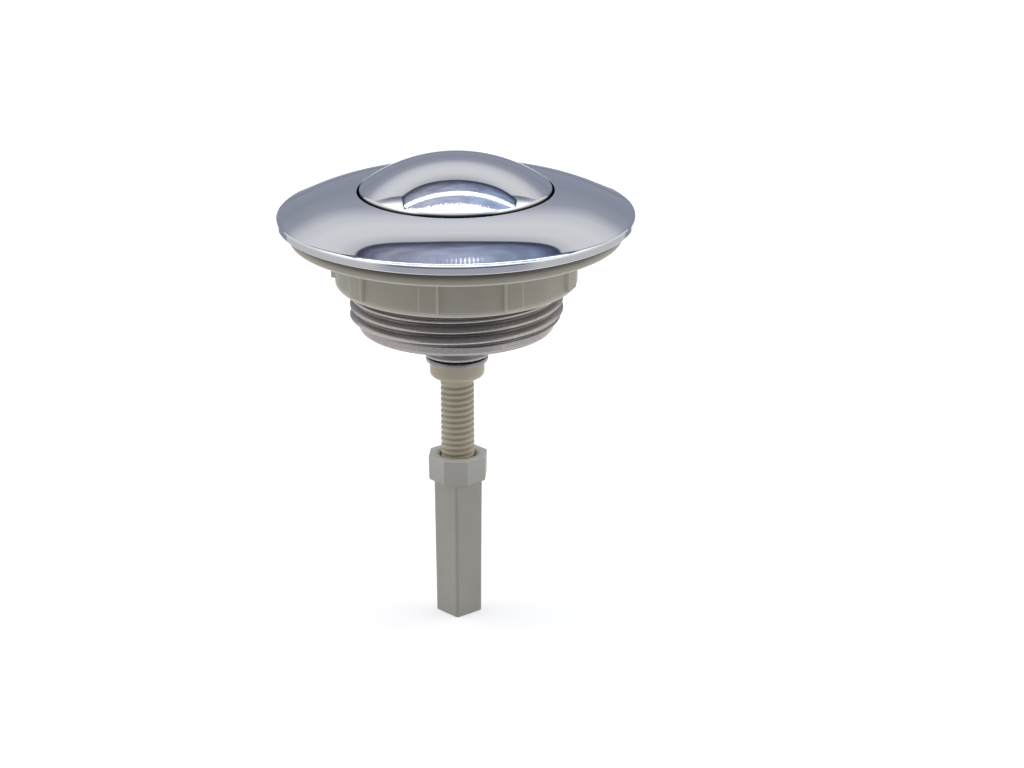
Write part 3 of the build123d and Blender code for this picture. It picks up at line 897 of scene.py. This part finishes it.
place(housing(), "housing", "housing", chrome)
place(button(), "button", "button", chrome)
place(rod(), "button", "plunger_rod", acetal)
place(washer(), "button", "stop_washer", washer_steel)
coil = place(spring(), "housing", "return_spring", spring_steel)
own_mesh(coil)
place(nut(), "back_nut", "back_nut", beige)
place(sleeve(), "extension_sleeve", "extension_sleeve", grey)

# Table of white paper, which the camera and reflections see brighter than the light makes it
paper = bpy.data.materials.new("white paper")
tree = empty_tree(paper)
rays = node(tree, "LightPath").node.outputs
seen = node(tree, "Math", (rays["Is Camera Ray"], rays["Is Glossy Ray"]), operation="MAXIMUM")
seen = node(tree, "Math", (seen, rays["Is Transmission Ray"]), operation="MAXIMUM")
glow = node(tree, "Math", (seen, TABLE_GLOW), operation="MULTIPLY")
lit = node(tree, "BsdfDiffuse", (srgb(TABLE_COLOUR),))
bright = node(tree, "Emission", (srgb("ffffff"), glow))
node(tree, "OutputMaterial", (node(tree, "AddShader", (lit, bright)),))
table_mesh = bpy.data.meshes.new("table")
table_mesh.from_pydata([(x * MM, y * MM, FOOT_HEIGHT * MM) for x, y in TABLE_CORNERS], [], [(0, 1, 2, 3)])
table_mesh.materials.append(paper)
table = bpy.data.objects.new("table", table_mesh)
bpy.context.scene.collection.objects.link(table)


# Light box: four walls, and a top whose opening holds a strip and a bank of small lamps

def by_elevation(stops):
    """Stops of a wall's ramp: degrees above the horizon as places from 0, straight down, to 1,
    straight up."""
    return [(0.5 + degrees / 180, colour + (1.0,)) for degrees, colour in stops]


world = bpy.data.worlds.new("light box")
bpy.context.scene.world = world
box = empty_tree(world)
way_x, way_y, way_z = node(box, "SeparateXYZ", (node(box, "TexCoord", out="Generated"),)).node.outputs
lifted = node(box, "Math", (way_z, LEAST_RISE), operation="MAXIMUM")
across = node(box, "Math", (way_x, lifted), operation="DIVIDE")
along = node(box, "Math", (way_y, lifted), operation="DIVIDE")
spot = node(box, "CombineXYZ", (across, along))
side = node(box, "Math", (across, OPENING_MIDDLE), operation="SUBTRACT")
side = node(box, "Math", (side,), operation="ABSOLUTE")
wing = node(box, "Math", (way_x,), operation="ABSOLUTE")
to_back = node(box, "Math", (wing, BACK_SPREAD, way_y), operation="MULTIPLY_ADD")
from_camera = node(box, "Math", (wing, CAMERA_SPREAD, way_y), operation="MULTIPLY_ADD")

# Walls, with the seams drawn on them. A range whose upper limit is another range multiplies the two
level = node(box, "Math", (way_z,), operation="ARCSINE")
level = node(box, "Math", (level, 1 / math.pi, 0.5), operation="MULTIPLY_ADD")
back, sides, front = (
    node(box, "ValToRGB", (level,), stops=by_elevation(wall))
    for wall in (BACK_WALL, SIDE_WALLS, CAMERA_WALL))
seam = node(box, "MapRange", (way_z, *SEAM_RISE, 0.0, SEAM_STRENGTH), **SMOOTH)
seam = node(box, "MapRange", (to_back, *SEAM_BACK, 0.0, seam), **SMOOTH)
seam = node(box, "MapRange", (to_back, *SEAM_SIDE, 0.0, seam), **SMOOTH)
side_turn = node(box, "MapRange", (to_back, *SIDE_TURN), **SMOOTH)
camera_turn = node(box, "MapRange", (from_camera, *CAMERA_TURN), **SMOOTH)
walls = node(box, "Mix", {0: side_turn, 6: back, 7: sides}, **COLOURS)
walls = node(box, "Mix", {0: camera_turn, 6: walls, 7: front}, **COLOURS)
walls = node(box, "Mix", {0: seam, 6: walls, 7: srgb(SEAM_COLOUR)}, **COLOURS)

# Opening: cut at its far corners, dark at its far edge and its ends, streaky, and cooler to the right
bend = node(box, "Math", (side, CORNER_START), operation="SUBTRACT")
bend = node(box, "Math", (bend, 0.0), operation="MAXIMUM")
bend = node(box, "Math", (bend, bend), operation="MULTIPLY")
edge_place = node(box, "Math", (bend, CORNER_CUT, along), operation="MULTIPLY_ADD")
inside = 1.0
edges = ((edge_place, FAR_EDGE), (side, SIDE_EDGE), (along, NEAR_EDGE), (way_z, HORIZON_EDGE))
for measure, limits in edges:
    inside = node(box, "MapRange", (measure, *limits, 0.0, inside), **SMOOTH)
depth = node(box, "MapRange", (edge_place, OPENING_NEAR, OPENING_FAR))
opening = node(box, "ValToRGB", (depth,), stops=[
    ((slope - OPENING_NEAR) / (OPENING_FAR - OPENING_NEAR), colour + (1.0,))
    for slope, colour in OPENING_COLOURS])
drawn = node(box, "VectorMath", (spot, STREAKS), operation="MULTIPLY")
streak = node(box, "TexNoise", {"Vector": drawn, "Scale": 1.0, "Detail": 3.0}, out="Fac")
streak = node(box, "MapRange", (streak, *NOISE_MIDDLE, *STREAK_GAIN), **SMOOTH)
streak_start = node(box, "MapRange", (along, *STREAK_START), **SMOOTH)
gain = node(box, "Math", (streak, streak_start, 1.0), operation="MULTIPLY_ADD")
opening = node(box, "VectorMath", {0: opening, "Scale": gain}, operation="SCALE")
rightward = node(box, "MapRange", (across, *HUE_RANGE), **SMOOTH)
hue = node(box, "Mix", {0: rightward, 6: WARM, 7: COOL}, **COLOURS)
opening = node(box, "VectorMath", (opening, hue), operation="MULTIPLY")
ends = node(box, "MapRange", (side, *DARK_ENDS), **SMOOTH)
opening = node(box, "Mix", {0: ends, 6: opening, 7: END_COLOUR}, **COLOURS)

# Strip of lamps: a line across the opening, widened into a tooth at each lamp
beads = node(box, "Math", (across, TURN / LAMP_SPACING), operation="MULTIPLY")
beads = node(box, "Math", (beads,), operation="COSINE")
beads = node(box, "Math", (beads, 0.5, 0.5), operation="MULTIPLY_ADD")
teeth = node(box, "Math", (beads, 2.0), operation="POWER")
teeth = node(box, "Math", (teeth, TOOTH, STRIP_HALF), operation="MULTIPLY_ADD")
line = node(box, "Math", (across, STRIP_TILT, STRIP_PLACE), operation="MULTIPLY_ADD")
strip = node(box, "Math", (along, line), operation="SUBTRACT")
strip = node(box, "Math", (strip,), operation="ABSOLUTE")
strip = node(box, "Math", (strip, teeth), operation="DIVIDE")
strip = node(box, "MapRange", (strip, *STRIP_EDGE, 0.0, STRIP_LIGHT), **SMOOTH)
strip = node(box, "MapRange", (side, *STRIP_ENDS, 0.0, strip), **SMOOTH)

# Bank of lamps: its far side is ragged and bends away at both ends, and gaps show between the lamps
dots = node(box, "TexNoise", {"Vector": spot, "Scale": DOT_SCALE, "Detail": 1.0}, out="Fac")
ragged = node(box, "Math", (dots, BANK_RAGGED, BANK_PLACE), operation="MULTIPLY_ADD")
bank_bend = node(box, "Math", (side, BANK_BEND_START), operation="SUBTRACT")
bank_bend = node(box, "Math", (bank_bend, 0.0), operation="MAXIMUM")
bank_bend = node(box, "Math", (bank_bend, bank_bend), operation="MULTIPLY")
bank_edge = node(box, "Math", (bank_bend, BANK_BEND, ragged), operation="MULTIPLY_ADD")
past_edge = node(box, "Math", (along, bank_edge), operation="SUBTRACT")
bank = node(box, "Math", (beads, dots), operation="ADD")
bank = node(box, "MapRange", (bank, *BANK_GAPS, *BANK_LIGHT), **SMOOTH)
for measure, limits in ((past_edge, BANK_EDGE), (along, BANK_START), (side, BANK_ENDS)):
    bank = node(box, "MapRange", (measure, *limits, 0.0, bank), **SMOOTH)

# Shoulders: the side walls are brightest just under the opening
shoulder = node(box, "MapRange", (way_z, *SHOULDER_RISE, 0.0, SHOULDER_LIGHT), **SMOOTH)
for measure, limits in ((to_back, SHOULDER_BACK), (from_camera, SHOULDER_CAMERA), (inside, (1.0, 0.0))):
    shoulder = node(box, "MapRange", (measure, *limits, 0.0, shoulder), **SMOOTH)
light = node(box, "Math", (strip, bank), operation="ADD")
light = node(box, "Math", (light, shoulder), operation="ADD")
inner = node(box, "Mix", {0: inside, 6: walls, 7: opening}, **COLOURS)
surround = node(box, "Background", (inner, 1.0))
lamps = node(box, "Background", (LAMP_COLOUR, light))
node(box, "OutputWorld", (node(box, "AddShader", (surround, lamps)),))

# Camera at the photograph's view, held a little askew
eye = bpy.data.cameras.new("eye")
eye.sensor_width = SENSOR
eye.lens = LENS
eye.shift_x = (PHOTO_WIDTH / 2 - AXIS_PIXEL) / PHOTO_WIDTH
camera = bpy.data.objects.new("eye", eye)
camera.location = EYE
tilt = Matrix.Rotation(math.radians(EYE_TILT), 3, "X") @ Matrix.Rotation(math.radians(EYE_ROLL), 3, "Z")
camera.rotation_euler = tilt.to_euler()
bpy.context.scene.collection.objects.link(camera)
bpy.context.scene.camera = camera
bpy.context.scene.view_settings.view_transform = "Standard"
